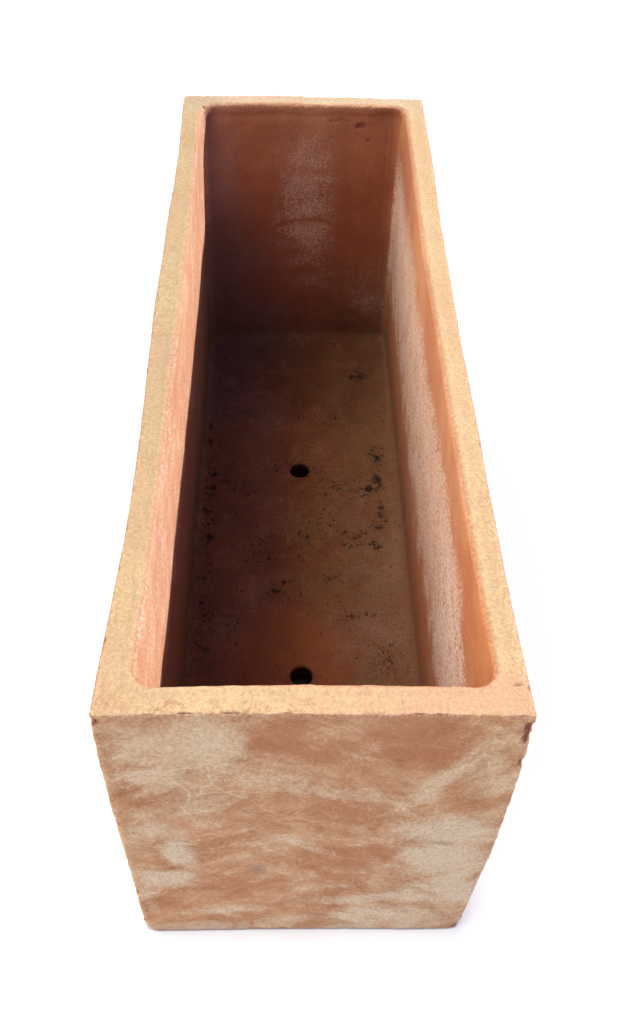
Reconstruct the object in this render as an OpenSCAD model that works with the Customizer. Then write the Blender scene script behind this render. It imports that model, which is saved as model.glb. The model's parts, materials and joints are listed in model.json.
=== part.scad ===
// Hand-built rectangular trough planter in fired terracotta.
// Four wall slabs stand on a floor slab. Rolled clay coils are pressed into
// every inside seam, upright in the corners and along the floor, and two
// round drain holes are punched through the floor.
// Millimetres. Origin: middle of the underside. X across the trough (left
// wall at -X), Y along it (front wall at -Y), +Z up.

/* [Trough] */
// Overall length, front to back
trough_l = 1170; // [900:10:1400]
// Overall width
trough_w = 400; // [320:5:520]
// Overall height
trough_h = 525; // [360:5:600]

/* [Slabs] */
// Thickness of the floor slab
floor_t = 33; // [24:1:40]
// Thickness of the walls at the rim
rim_t = 32; // [26:1:38]
// Thickness of the walls where they stand on the floor
foot_t = 25; // [20:1:32]

/* [Arrises] */
// Rounding of the rim's outer edge
rim_out_r = 5; // [2:0.5:8]
// Rounding of the rim's inner edge
rim_in_r = 7; // [2:0.5:10]
// Rounding of the four upright outer corners
upright_r = 9; // [3:0.5:14]
// Rounding of the bottom edge all round
base_r = 10; // [3:0.5:14]

/* [Seam coils] */
// Reach of the upright corner coils along each wall
corner_coil = 20; // [12:1:30]
// Reach of the floor coils along wall and floor
floor_coil = 25; // [14:1:34]

/* [Drain holes] */
// Diameter of a drain hole
drain_d = 33; // [20:1:45]
// Distance of the front drain hole from the middle
drain_front = 231; // [140:1:300]
// Distance of the back drain hole from the middle
drain_back = 195; // [140:1:300]
// Height of the clay lip pushed up round a drain hole
lip_h = 2.5; // [1:0.5:4]
// Width of that lip
lip_w = 8; // [4:0.5:12]

/* [Hidden] */
$fn = 64;

half_w = trough_w / 2;
half_l = trough_l / 2;
brow = trough_h - 2 * rim_in_r;  // the inner faces stand upright above this height
lean = atan((rim_t - foot_t) / (brow - floor_t));  // and lean in by this much below it

drain_places = [-drain_front, drain_back];  // along Y
lip_crest = 0.45;    // width of the lip's flat top, as a share of lip_w
lip_sink = 2;        // depth the lip is let into the floor
lip_lap = 1;         // overlap of the lip into the hole, drilled away again

coil_hollow = 1.3;   // centre of a coil's hollow face, in reaches from both slabs
floor_coil_back = 6; // depth the floor coils run into the slabs before they are cut
coil_cut_back = 30;  // the same depth for the floor coils cut from a corner coil
corner_spare = 4;    // corner coil blank beyond its reach, all inside the hollow
corner_sink = 10;    // start of a corner coil below the floor's top

over = 1;            // overshoot of blanks that are trimmed by another shape
cut_over = 5;        // overshoot of drills and mitres
block_over = 40;     // overshoot of the wall blocks past face, foot and rim
side_trim = 20;      // side slab blank shorter than the trough, ends buried in end walls
bar_trim = 10;       // floor coil blank shorter than the trough
big = 3000;          // half-space cube

clay = [0.80, 0.58, 0.44];
clay_floor = [0.62, 0.40, 0.29];
clay_coil = [0.72, 0.49, 0.36];

// ---- Placing a section: its x runs inwards from the outer face, its y up ----

// Extruded along Y on the -X side, moved inwards by inset and up by rise.
module along_side(length, inset = 0, rise = 0) {
    translate([-half_w + inset, 0, rise]) rotate([90, 0, 0])
        linear_extrude(length, center = true) children();
}

// Extruded along X on the -Y side, moved inwards by inset and up by rise.
module along_end(length, inset = 0, rise = 0) {
    translate([0, -half_l + inset, rise]) rotate([90, 0, 90])
        linear_extrude(length, center = true) children();
}

// Mirrored from left to right, and from front to back.
module to_right() { mirror([1, 0, 0]) children(); }
module to_back() { mirror([0, 1, 0]) children(); }

// ---- Outside of the trough ----

// A rectangle with its corners rounded, centred on the origin.
module round_rectangle(width, length, radius) {
    square([width - 2 * radius, length], center = true);
    square([width, length - 2 * radius], center = true);
    for (x = [-1, 1], y = [-1, 1])
        translate([x * (width / 2 - radius), y * (length / 2 - radius)])
            circle(r = radius);
}

// Elevation outline: rounded at the bottom and at the rim.
module elevation(width) {
    translate([-width / 2, base_r])
        square([width, trough_h - base_r - rim_out_r]);
    translate([-width / 2 + base_r, 0])
        square([width - 2 * base_r, trough_h / 2]);
    translate([-width / 2 + rim_out_r, trough_h / 2])
        square([width - 2 * rim_out_r, trough_h / 2]);
    for (x = [-1, 1]) {
        translate([x * (width / 2 - base_r), base_r]) circle(r = base_r);
        translate([x * (width / 2 - rim_out_r), trough_h - rim_out_r])
            circle(r = rim_out_r);
    }
}

// The trough's outside, with every outer arris rounded.
module envelope() {
    intersection() {
        translate([0, 0, -over]) linear_extrude(trough_h + 2 * over)
            round_rectangle(trough_w, trough_l, upright_r);
        rotate([90, 0, 0]) linear_extrude(trough_l + 2 * over, center = true)
            elevation(trough_w);
        rotate([90, 0, 90]) linear_extrude(trough_w + 2 * over, center = true)
            elevation(trough_l);
    }
}

// ---- Walls ----

// Cross-section of a wall slab: thicker at the rim than at the foot, with
// both rim edges rounded.
module wall_section() {
    polygon([[0, floor_t], [foot_t, floor_t], [rim_t, brow],
             [rim_t, trough_h - rim_in_r], [rim_t - rim_in_r, trough_h],
             [rim_out_r, trough_h], [0, trough_h - rim_out_r]]);
    translate([rim_t - rim_in_r, trough_h - rim_in_r]) circle(r = rim_in_r);
    translate([rim_out_r, trough_h - rim_out_r]) circle(r = rim_out_r);
}

// The room a wall takes up, carried on past its outer face, foot and rim.
module block_section() {
    polygon([[-block_over, floor_t - block_over],
             [foot_t - block_over * tan(lean), floor_t - block_over],
             [rim_t, brow], [rim_t, trough_h + block_over],
             [-block_over, trough_h + block_over]]);
}

// Plain blocks in the room of the left and front walls, to fit other pieces against.
module side_block() { along_side(trough_l + 2 * over) block_section(); }
module end_block() { along_end(trough_w + 2 * over) block_section(); }

// The end walls run the full width, rounded by the envelope.
module end_wall() {
    intersection() {
        along_end(trough_w + over) wall_section();
        envelope();
    }
}

// The side walls fit between the end walls.
module side_wall() {
    difference() {
        along_side(trough_l - side_trim) wall_section();
        for (m = [0, 1]) mirror([0, m, 0]) end_block();
    }
}

// ---- Seam coils ----

// The round that hollows the face of a coil in a seam at the origin. It
// crosses each slab's face at the coil's reach.
module coil_hollow_round(reach) {
    middle = reach * coil_hollow;
    translate([middle, middle])
        circle(r = sqrt(middle * middle + (middle - reach) * (middle - reach)));
}

// Cross-section of a coil thumbed into a right-angled seam: a hollow-faced
// triangle, carried on by `back` into the slabs.
module coil_section(reach, back) {
    difference() {
        translate([-back, -back]) square(reach + back);
        coil_hollow_round(reach);
    }
}

// The same hollow-faced triangle, with its back on the axes.
module corner_section(reach) {
    difference() {
        square(reach + corner_spare);
        coil_hollow_round(reach);
    }
}

// Everything below the floor's top.
module below_floor() {
    translate([0, 0, floor_t - big / 2]) cube(big, center = true);
}

// Upright prism over the plan of a mitred strip, as tall as the floor coils.
module mitre(plan) {
    translate([0, 0, floor_t - cut_over])
        linear_extrude(floor_coil + 2 * cut_over) polygon(plan);
}

// Left floor coil, cut to wall and floor and mitred at both ends.
module side_floor_coil() {
    intersection() {
        difference() {
            along_side(trough_l - bar_trim, foot_t, floor_t)
                coil_section(floor_coil, floor_coil_back);
            side_block();
            below_floor();
        }
        mitre([[-half_w, -half_l], [0, -half_l + half_w],
               [0, half_l - half_w], [-half_w, half_l]]);
    }
}

// Front floor coil, cut to wall and floor and mitred at both ends.
module end_floor_coil() {
    intersection() {
        difference() {
            along_end(trough_w - bar_trim, foot_t, floor_t)
                coil_section(floor_coil, floor_coil_back);
            end_block();
            below_floor();
        }
        mitre([[-half_w, -half_l], [half_w, -half_l], [0, -half_l + half_w]]);
    }
}

// Upright coil in the front left corner. It leans with the walls, stands on
// the floor coils and stops where the inner faces turn upright.
module upright_coil() {
    difference() {
        translate([-half_w + foot_t, -half_l + foot_t, floor_t])
            rotate([-lean, lean, 0]) translate([0, 0, -corner_sink])
                linear_extrude(trough_h) corner_section(corner_coil);
        along_side(trough_l, foot_t, floor_t) coil_section(floor_coil, coil_cut_back);
        along_end(trough_w, foot_t, floor_t) coil_section(floor_coil, coil_cut_back);
        translate([0, 0, brow + big / 2]) cube(big, center = true);
    }
}

// ---- Drain lip ----

// Ring of clay round a drain hole, flat on top and sloping outwards.
module drain_lip() {
    rotate_extrude() translate([drain_d / 2 - lip_lap, 0])
        polygon([[0, 0], [lip_w + lip_lap, 0], [lip_w + lip_lap, lip_sink],
                 [lip_w * lip_crest + lip_lap, lip_sink + lip_h],
                 [0, lip_sink + lip_h]]);
}

// ---- Nodes ----

module floor_slab() {
    color(clay_floor) difference() {
        union() {
            intersection() {
                envelope();
                translate([-trough_w, -trough_l, -over])
                    cube([2 * trough_w, 2 * trough_l, floor_t + over]);
            }
            for (y = drain_places) translate([0, y, floor_t - lip_sink]) drain_lip();
        }
        for (y = drain_places) translate([0, y, -cut_over])
            cylinder(d = drain_d, h = floor_t + lip_h + 2 * cut_over);
    }
}

module front_wall() { color(clay) end_wall(); }
module back_wall() { color(clay) to_back() end_wall(); }
module left_wall() { color(clay) side_wall(); }
module right_wall() { color(clay) to_right() side_wall(); }

module corner_coil_front_left() { color(clay_coil) upright_coil(); }
module corner_coil_front_right() { color(clay_coil) to_right() upright_coil(); }
module corner_coil_back_left() { color(clay_coil) to_back() upright_coil(); }
module corner_coil_back_right() { color(clay_coil) rotate([0, 0, 180]) upright_coil(); }

module floor_coil_front() { color(clay_coil) end_floor_coil(); }
module floor_coil_back() { color(clay_coil) to_back() end_floor_coil(); }
module floor_coil_left() { color(clay_coil) side_floor_coil(); }
module floor_coil_right() { color(clay_coil) to_right() side_floor_coil(); }

floor_slab();
front_wall();
back_wall();
left_wall();
right_wall();
corner_coil_front_left();
corner_coil_front_right();
corner_coil_back_left();
corner_coil_back_right();
floor_coil_front();
floor_coil_back();
floor_coil_left();
floor_coil_right();
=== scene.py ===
# A hand-built terracotta trough: a floor slab, four slab walls and the coils that seal their seams.
# It stands on z = 0, centred on the origin: width along X, length along Y. Front is -Y, left is -X.
# Shapes are worked out in mm and written to the meshes in metres. Shading and staging use metres.
import json
import math

import bpy
import numpy as np
from mathutils import Matrix, Vector


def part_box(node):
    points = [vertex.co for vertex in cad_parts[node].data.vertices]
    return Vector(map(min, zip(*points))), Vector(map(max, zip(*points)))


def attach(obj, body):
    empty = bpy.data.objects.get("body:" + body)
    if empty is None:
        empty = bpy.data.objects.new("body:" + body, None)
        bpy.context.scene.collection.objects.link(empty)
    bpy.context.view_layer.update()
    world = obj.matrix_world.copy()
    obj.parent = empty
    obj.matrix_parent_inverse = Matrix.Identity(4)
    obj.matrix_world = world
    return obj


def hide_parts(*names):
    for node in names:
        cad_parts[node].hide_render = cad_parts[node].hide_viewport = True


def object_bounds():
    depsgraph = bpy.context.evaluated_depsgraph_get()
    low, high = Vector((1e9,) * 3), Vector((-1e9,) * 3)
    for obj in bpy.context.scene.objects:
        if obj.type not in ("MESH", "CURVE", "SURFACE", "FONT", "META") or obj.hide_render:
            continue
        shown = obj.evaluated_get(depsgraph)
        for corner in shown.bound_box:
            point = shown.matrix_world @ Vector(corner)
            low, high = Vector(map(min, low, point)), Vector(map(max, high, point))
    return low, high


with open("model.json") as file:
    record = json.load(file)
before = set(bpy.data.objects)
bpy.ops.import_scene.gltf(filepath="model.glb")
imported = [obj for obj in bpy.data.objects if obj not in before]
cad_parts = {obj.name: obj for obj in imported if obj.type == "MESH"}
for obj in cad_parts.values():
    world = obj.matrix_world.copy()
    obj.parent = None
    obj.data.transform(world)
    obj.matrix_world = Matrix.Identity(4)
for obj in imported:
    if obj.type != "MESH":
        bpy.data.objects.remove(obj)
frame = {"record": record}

CAD_LO, CAD_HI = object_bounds()

# ------------------------------------------------------------------ sizes in mm, from the CAD pieces
MM = 1000.0
WIDTH, LENGTH, HEIGHT = [(CAD_HI[i] - CAD_LO[i]) * MM for i in range(3)]
HALF_X, HALF_Y = WIDTH / 2, LENGTH / 2
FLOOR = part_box("floor_coil_left")[0].z * MM                     # top of the floor slab
RIM = round((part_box("left_wall")[1].x - CAD_LO.x) * MM, 1)      # wall thickness at the rim
FOOT = HALF_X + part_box("floor_coil_left")[0].x * MM             # wall thickness at the floor
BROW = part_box("corner_coil_front_left")[1].z * MM               # inner faces are upright above this
DRAINS = [  # centre x, y, radius
    (m["pos_m"][0] * MM, m["pos_m"][1] * MM, m["dims"]["r_mm"])
    for m in frame["record"]["mounts"]
    if m["kind"] == "bore"
]
CORNER_R, SEAM_R = 20.0, 25.0     # hollow of the upright coils and of the floor coils
BARE_R = 1.5                      # hollow where two slabs meet under a coil
DRAIN_EDGE_R = 2.6


# ------------------------------------------------------------------ noise and small helpers
class Noise:
    """Gradient noise in space, about -1 to 1, the same every run."""

    def __init__(self, seed):
        rng = np.random.default_rng(seed)
        self.order = np.tile(rng.permutation(256), 3)
        gradients = rng.normal(size=(256, 3))
        self.gradients = gradients / np.linalg.norm(gradients, axis=1)[:, None]

    def __call__(self, points):
        cell = np.floor(points).astype(np.int64)
        inner = points - cell
        weight = inner * inner * inner * (inner * (inner * 6 - 15) + 10)
        cell &= 255
        total = np.zeros(len(points))
        for i in (0, 1):
            weight_x = weight[:, 0] if i else 1 - weight[:, 0]
            order_x = self.order[cell[:, 0] + i]
            for j in (0, 1):
                weight_y = weight[:, 1] if j else 1 - weight[:, 1]
                order_y = self.order[order_x + ((cell[:, 1] + j) & 255)]
                for k in (0, 1):
                    weight_z = weight[:, 2] if k else 1 - weight[:, 2]
                    grad = self.gradients[self.order[order_y + ((cell[:, 2] + k) & 255)]]
                    dot = (grad[:, 0] * (inner[:, 0] - i) + grad[:, 1] * (inner[:, 1] - j)
                           + grad[:, 2] * (inner[:, 2] - k))
                    total += dot * weight_x * weight_y * weight_z
        return total * 1.7


NOISES = [Noise(100 + k) for k in range(12)]


def noise(points, length, seed):
    """Noise with waves of the given length in mm: one number, or one for each axis."""
    return NOISES[seed](points / np.asarray(length, float) + 37.3 * (seed + 1))


def clouds(points, length, seed):
    """Three octaves of noise."""
    total, gain = np.zeros(len(points)), 1.0
    for k in range(3):
        total += gain * noise(points, length, seed + k)
        gain, length = gain * 0.5, length / 2.03
    return total


def ease(lo, hi, value):
    """Smooth step from 0 at lo to 1 at hi; lo may be the larger."""
    share = np.clip((value - lo) / (hi - lo), 0, 1)
    return share * share * (3 - 2 * share)


def bell(value, width, at=0):
    return np.exp(-(((value - at) / width) ** 2))


def round_max(first, second, radius):
    """The larger of two distances, with the edge where they meet rounded."""
    return (np.minimum(np.maximum(first, second), -radius)
            + np.hypot(np.maximum(first + radius, 0), np.maximum(second + radius, 0)))


def wall_at(z):
    """Wall thickness at a height."""
    return FOOT + (RIM - FOOT) * np.clip((z - FLOOR) / (BROW - FLOOR), 0, 1)


def past_drains(x, y):
    """Distance outside each drain hole's wall."""
    return [np.hypot(x - drain_x, y - drain_y) - radius for drain_x, drain_y, radius in DRAINS]


# ------------------------------------------------------------------ one distance field for all pieces
class Radii:
    """Edge radii that wander along the arrises, fixed for each vertex before it moves."""

    def __init__(self, points):
        def wave(length, seed):
            return noise(points, length, seed)

        x, y, z = points.T
        low = ease(60, 8, z)
        front = ease(-HALF_Y + 40, -HALF_Y + 8, y)
        back = ease(HALF_Y - 60, HALF_Y - 20, y)
        self.upright = (6.5 - 2.3 * front + 4.0 * low + 1.4 * wave(70, seed=1)
                        + 8.0 * front * ease(24, 2, z) * (x < 0))
        self.outer_rim = 4.3 - 1.6 * front + 1.2 * wave(45, seed=2) + 0.6 * wave(14, seed=3)
        self.inner_rim = (7.2 - 2.6 * front - 2.2 * back + 2.6 * ease(-100, -160, x)
                          + 1.6 * wave(55, seed=4) + 0.7 * wave(17, seed=5))
        self.base = 9.0 - 3.5 * front + 2.0 * wave(80, seed=6)


def hollow(points, corner, seam):
    """Distance to the planting cavity: negative inside it."""
    x, y, z = points.T
    wall = wall_at(z)
    sides = round_max(np.abs(x) - (HALF_X - wall), np.abs(y) - (HALF_Y - wall), corner)
    return round_max(sides, FLOOR - z, seam)


def corner_radius(z):
    """Corner rounding of the bare slabs: sharp under the coils, thumbed round above them."""
    return BARE_R + (CORNER_R - BARE_R) * ease(BROW - 60, BROW - 22, z)


def into_corner(points):
    """How far inner-face points stand back once the upright corners are thumbed round."""
    x, y, z = points.T
    wall, radius = wall_at(z), corner_radius(z)
    over_x = np.maximum(np.abs(x) - (HALF_X - wall) + radius, 0)
    over_y = np.maximum(np.abs(y) - (HALF_Y - wall) + radius, 0)
    reach = np.maximum(np.hypot(over_x, over_y), 1e-9)
    excess = np.where((over_x > 0) & (over_y > 0), np.maximum(reach - radius, 0), 0)
    return np.stack([-np.sign(x) * over_x / reach * excess,
                     -np.sign(y) * over_y / reach * excess, 0 * excess], 1)


def field(points, radii, coils, drains):
    """Distance to the trough's surface, with or without its coils and drain holes."""
    x, y, z = points.T
    out = round_max(np.abs(x) - HALF_X, np.abs(y) - HALF_Y, radii.upright)
    out = round_max(out, z - HEIGHT, radii.outer_rim)
    out = round_max(out, -z, radii.base)
    if coils:
        cavity = hollow(points, CORNER_R, SEAM_R)
    else:
        cavity = hollow(points, corner_radius(z), BARE_R)
    out = round_max(out, -cavity, radii.inner_rim)
    if drains:
        for gap in past_drains(x, y):
            out = round_max(out, -gap, DRAIN_EDGE_R)
    return out


def slope(points, radii, coils, drains):
    """Unit normals of the field."""
    grad = np.zeros_like(points)
    for k in range(3):
        step = np.zeros(3)
        step[k] = 0.15
        grad[:, k] = (field(points + step, radii, coils, drains)
                      - field(points - step, radii, coils, drains))
    return grad / np.maximum(np.linalg.norm(grad, axis=1), 1e-9)[:, None]


def settle(points, seen, coils, drains):
    """Moves the seen vertices on to the field's surface. Returns points, normals."""
    radii = Radii(points)
    points = points.copy()
    for _ in range(4):
        normals = slope(points, radii, coils, drains)
        gap = np.clip(field(points, radii, coils, drains), -6, 6)
        points[seen] -= (normals * gap[:, None])[seen]
    return points, slope(points, radii, coils, drains)


# ------------------------------------------------------------------ chips along the arrises
CHIPS = [  # centre x, y, z, three radii, depth
    (HALF_X - 2, -HALF_Y, 503, 9, 7, 13, 3.4),
    (HALF_X - 2, -HALF_Y, 485, 8, 7, 11, 3.0),
    (HALF_X - 1, -HALF_Y, 437, 6, 6, 10, 2.4),
    (HALF_X, -HALF_Y, 405, 4, 4, 8, 1.0),
    (HALF_X, -HALF_Y, 358, 4, 4, 18, 1.3),
    (HALF_X, -HALF_Y, 330, 4, 4, 10, 1.0),
    (HALF_X, -HALF_Y, 300, 4, 4, 18, 1.2),
    (HALF_X, -HALF_Y, 250, 3, 3, 9, 0.8),
    (-HALF_X, -HALF_Y, 512, 9, 8, 9, 3.0),
    (-HALF_X, -HALF_Y, 300, 5, 5, 10, 1.5),
    (-HALF_X, -HALF_Y, 120, 6, 5, 12, 1.8),
    (HALF_X, HALF_Y, 515, 8, 8, 10, 3.0),
    (-HALF_X, HALF_Y, 250, 6, 6, 18, 2.6),
    (HALF_X, HALF_Y, 90, 8, 7, 16, 3.0),
    (-HALF_X, HALF_Y, 20, 14, 12, 12, 4.0),
    (HALF_X, -HALF_Y, 6, 12, 10, 10, 3.0),
    (-153, -HALF_Y, HEIGHT, 5, 2.5, 3, 1.2),
    (-118, -HALF_Y, HEIGHT, 9, 3, 3, 1.5),
    (-78, -HALF_Y, HEIGHT, 12, 3, 3, 1.5),
    (188, -HALF_Y, HEIGHT, 6, 3, 4, 1.5),
    (99, HALF_Y - RIM, 491, 11, 6, 6, 2.6),
    (112, HALF_Y - RIM, 464, 5, 4, 5, 1.4),
    (60, HALF_Y - RIM, 500, 20, 5, 3.5, 1.6),
]


def random_chips():
    """Seventy small chips shared out among the edges, rows as in CHIPS."""
    rng = np.random.default_rng(11)
    draw = rng.uniform

    def either():
        return rng.choice([-1, 1])

    chips = []
    for k in range(70):
        edge = k % 5
        if edge < 2:      # outer rim of the long sides, then their inner rim
            centre = (either() * (HALF_X if edge == 0 else HALF_X - RIM),
                      draw(-HALF_Y, HALF_Y), HEIGHT)
            radii = (draw(2, 4), draw(4, 10), draw(2, 4.5))
        elif edge == 2:   # end rims
            centre = (draw(-HALF_X, HALF_X), either() * (HALF_Y - rng.choice([0, RIM])), HEIGHT)
            radii = (draw(4, 9), draw(2, 4), draw(2, 4.5))
        elif edge == 3:   # upright outer arrises
            centre = (either() * HALF_X, either() * HALF_Y, draw(20, HEIGHT - 20))
            radii = (draw(3, 5), draw(3, 5), draw(4, 12))
        elif rng.random() < 0.75:      # bottom arris: long sides, then ends
            centre = (either() * HALF_X, draw(-HALF_Y, HALF_Y), 0)
            radii = (draw(4, 8), draw(6, 16), draw(4, 8))
        else:
            centre = (draw(-HALF_X, HALF_X), either() * HALF_Y, 0)
            radii = (draw(6, 16), draw(4, 8), draw(4, 8))
        depth = draw(0.5, 1.1) if edge == 3 else draw(0.7, 1.9)
        chips.append((*centre, *radii, depth))
    return chips


CHIPS += random_chips()

# ------------------------------------------------------------------ soft blots of colour
# Each row: two centre coordinates, two half widths, turn in degrees, strength.
# Pale lime bloom, redder clay, scratched patches and dark spots on the front face, by x and z.
FRONT_BLOOM = [
    (-98, 462, 44, 62, 0, 0.92), (-165, 470, 42, 46, 0, 0.62), (-152, 400, 45, 42, 0, 0.55),
    (-120, 352, 52, 30, 20, 0.52), (-168, 290, 26, 40, 0, 0.42), (-143, 234, 19, 42, 8, 1.0),
    (-162, 166, 34, 24, 0, 0.85), (-186, 120, 16, 80, 0, 0.5), (150, 286, 54, 36, 0, 1.0),
    (152, 216, 50, 60, 0, 0.95), (176, 140, 36, 70, 0, 0.9), (128, 112, 42, 50, -30, 0.72),
    (136, 408, 78, 17, 57, 0.72), (172, 430, 22, 62, 0, 0.62), (92, 102, 92, 20, 8, 0.74),
    (112, 42, 96, 32, 0, 0.74), (20, 30, 80, 15, 0, 0.55), (-120, 16, 80, 12, 0, 0.45),
    (-46, 402, 62, 20, -12, 0.5), (22, 378, 62, 12, -6, 0.46), (2, 246, 42, 5, -36, 0.6),
    (-20, 268, 34, 4, -30, 0.5), (-92, 60, 70, 10, 4, 0.42), (40, 140, 50, 9, 12, 0.45)]
FRONT_RUDDY = [
    (-30, 470, 33, 44, 0, 1.0), (94, 478, 50, 38, -20, 1.0), (40, 356, 76, 46, 0, 0.62),
    (66, 214, 52, 52, 0, 0.85), (-60, 140, 84, 72, 0, 0.5), (-172, 92, 26, 20, 0, 0.85),
    (8, 88, 62, 26, 0, 0.5), (10, 452, 30, 30, 0, 0.5)]
FRONT_WEB = [(-110, 362, 62, 70, 0, 1.0), (-140, 280, 52, 50, 0, 0.8),
             (-60, 250, 60, 40, 0, 0.45), (60, 250, 60, 40, 0, 0.4)]
FRONT_SPOT = [(-57, 187, 8, 10, 20, 0.85), (149, 256, 11, 4, -14, 1.0), (-52, 196, 5, 6, 0, 0.8)]

# Soil, mould and ash-pink clay on the floor, by x and y.
SOIL = [
    (-157, 60, 15, 290, 0, 0.55), (-150, -120, 20, 60, 0, 0.5), (-163, 307, 9, 9, 0, 1.0),
    (-162, 263, 9, 12, 0, 1.0), (-150, 185, 9, 11, 0, 1.0), (-152, 152, 8, 9, 0, 1.0),
    (-157, 96, 10, 12, 0, 1.0), (-148, 76, 9, 9, 0, 1.0), (-150, 40, 10, 14, 0, 1.0),
    (-164, 4, 8, 12, 0, 1.0), (-156, -98, 8, 12, 0, 0.95), (-147, -184, 10, 7, 0, 1.0),
    (-118, 180, 26, 60, 0, 0.4), (137, 230, 12, 22, 0, 0.9), (137, 168, 12, 26, 0, 0.95),
    (138, 99, 9, 20, 0, 0.85), (134, 61, 10, 10, 0, 1.0), (124, 24, 9, 12, 0, 0.9),
    (98, 42, 18, 9, 20, 0.8), (118, 150, 22, 20, 0, 0.85), (90, 24, 24, 10, 0, 0.72),
    (47, -47, 24, 10, 0, 0.7), (-28, -56, 34, 9, 0, 0.75), (-41, -74, 16, 8, 0, 0.8),
    (-118, 31, 5, 5, 0, 1.0), (-73, 5, 6, 5, 0, 1.0), (-49, 18, 5, 4, 0, 1.0),
    (-52, -8, 5, 4, 0, 1.0), (3, -8, 4, 7, 10, 1.0), (-89, -9, 5, 4, 0, 0.95),
    (77, 51, 5, 4, 0, 0.9), (84, -121, 42, 6, 4, 0.8), (60, 150, 60, 40, 0, 0.5),
    (70, 330, 60, 22, 0, 0.4), (116, 450, 24, 20, 0, 0.85), (-20, 205, 50, 22, 0, 0.62),
    (130, -200, 22, 26, 0, 0.6), (20, 60, 50, 50, 0, 0.36), (-60, 20, 40, 40, 0, 0.42),
    (-106, -120, 26, 60, 0, 0.45)]
ASH = [(108, -160, 58, 74, 0, 1.0), (128, -30, 40, 90, 0, 0.6), (96, 90, 60, 60, 0, 0.4),
       (-100, -150, 40, 60, 0, 0.35)]


def blots(across, along, table):
    """The strongest blot of a table at each place."""
    out = np.zeros(len(across))
    for centre_a, centre_b, half_a, half_b, turn, strength in table:
        cos, sin = math.cos(math.radians(turn)), math.sin(math.radians(turn))
        off_a, off_b = across - centre_a, along - centre_b
        turned_a, turned_b = off_a * cos + off_b * sin, off_b * cos - off_a * sin
        falloff = np.exp(-((turned_a / half_a) ** 2 + (turned_b / half_b) ** 2) * 0.9)
        out = np.maximum(out, strength * falloff)
    return out


# ------------------------------------------------------------------ the hand-worked surface
class Spot:
    """Where each point lies: distances to the edges in mm, and shares (0 to 1) of each face."""

    def __init__(self, points, normals):
        x, y, z = points.T
        normal_x, normal_y, normal_z = normals.T
        self.points = points
        self.cavity = hollow(points, CORNER_R, SEAM_R)
        self.inside = 1 - ease(1.0, 7.0, self.cavity)
        gap_x, gap_y = HALF_X - np.abs(x), HALF_Y - np.abs(y)
        outer, below = np.maximum(np.minimum(gap_x, gap_y), 0), np.maximum(HEIGHT - z, 0)
        self.to_outer_rim = np.hypot(outer, below)
        self.to_inner_rim = np.hypot(np.maximum(self.cavity, 0), below)
        self.to_upright = np.hypot(gap_x, gap_y)
        self.to_base = np.hypot(outer, np.maximum(z, 0))
        self.top = ease(0.55, 0.9, normal_z) * (z > HEIGHT - 14)
        self.bottom = ease(0.3, 0.9, -normal_z) * (z < 14)
        self.bed = ease(0.5, 0.9, normal_z) * (z < FLOOR + 30)
        self.front = (ease(0.6, 0.9, -normal_y) * (np.abs(y) > HALF_Y - 12) * (y < 0)
                      * (1 - self.inside))
        # the four inner faces, and the upper part of the back one with a wider share
        self.right = self.inside * ease(0.5, 0.9, -normal_x)
        self.left = self.inside * ease(0.5, 0.9, normal_x)
        self.far = self.inside * ease(0.5, 0.9, -normal_y) * (y > 0)
        self.near = self.inside * ease(0.5, 0.9, normal_y) * (y < 0)
        self.far_lip = self.inside * ease(0.4, 0.9, -normal_y) * (y > 0)
        self.big, self.mid = clouds(points, 130, seed=3), clouds(points, 42, seed=5)

    def wave(self, length, seed):
        return noise(self.points, length, seed)


def add_rim_relief(height, spot):
    """A smoothed ridge along the rim's inner edge, a shallow groove outside it, and streaks."""
    z, top, wave = spot.points[:, 2], spot.top, spot.wave
    wobble = 0.75 + 0.5 * wave(60, seed=7)
    ridge = 1.15 * bell(spot.cavity, 3.2, at=6.5)
    groove = 0.95 * bell(spot.cavity, 3.2, at=13.5)
    height += top * wobble * (ridge - groove)
    height += top * (0.45 * wave((10, 90, 10), seed=11) + 0.3 * wave(6.5, seed=9))
    height += top * 0.35 * wave(14, seed=8)
    lumps = 1.3 * wave((46, 40, 30), seed=6) * ease(HEIGHT - 70, HEIGHT - 12, z)
    crease = 1.4 * bell(z - HEIGHT + 19 + 5 * wave(70, seed=2), 5)
    height += spot.far_lip * (lumps - crease)


def wear_arrises(height, spot):
    x, y, _ = spot.points.T
    ragged = np.maximum(spot.wave(11, seed=9), 0) + 0.5 * np.maximum(spot.wave(5.5, seed=10), 0)
    front = ease(-HALF_Y + 16, -HALF_Y, y)
    off_left = ease(-HALF_X + 10, -HALF_X + 40, x)
    height -= bell(spot.to_outer_rim, 4.5) * (
        0.35 + 1.3 * ragged * (0.45 + 0.75 * front) * (0.45 + 0.55 * off_left))
    height -= bell(spot.to_inner_rim, 5.5) * 0.32 * ragged
    height -= bell(spot.to_upright, 6) * 0.5 * ragged
    height -= bell(spot.to_base, 8) * 1.2 * ragged


def add_drain_lips(height, spot):
    """Lips pushed up round the drain holes, and a shallow dish about them."""
    x, y, z = spot.points.T
    bed, wave = spot.bed, spot.wave
    for gap in past_drains(x, y):
        lip = bell(gap, 3.3, at=4.2) * (1.9 + 0.8 * wave(16, seed=2))
        height += bed * (lip - 0.9 * bell(gap, 9, at=14))
        height += ((1 - bed) * (1 - spot.bottom) * bell(gap, 3) * 0.45 * wave(9, seed=3)
                   * (z < FLOOR + 4))


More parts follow.
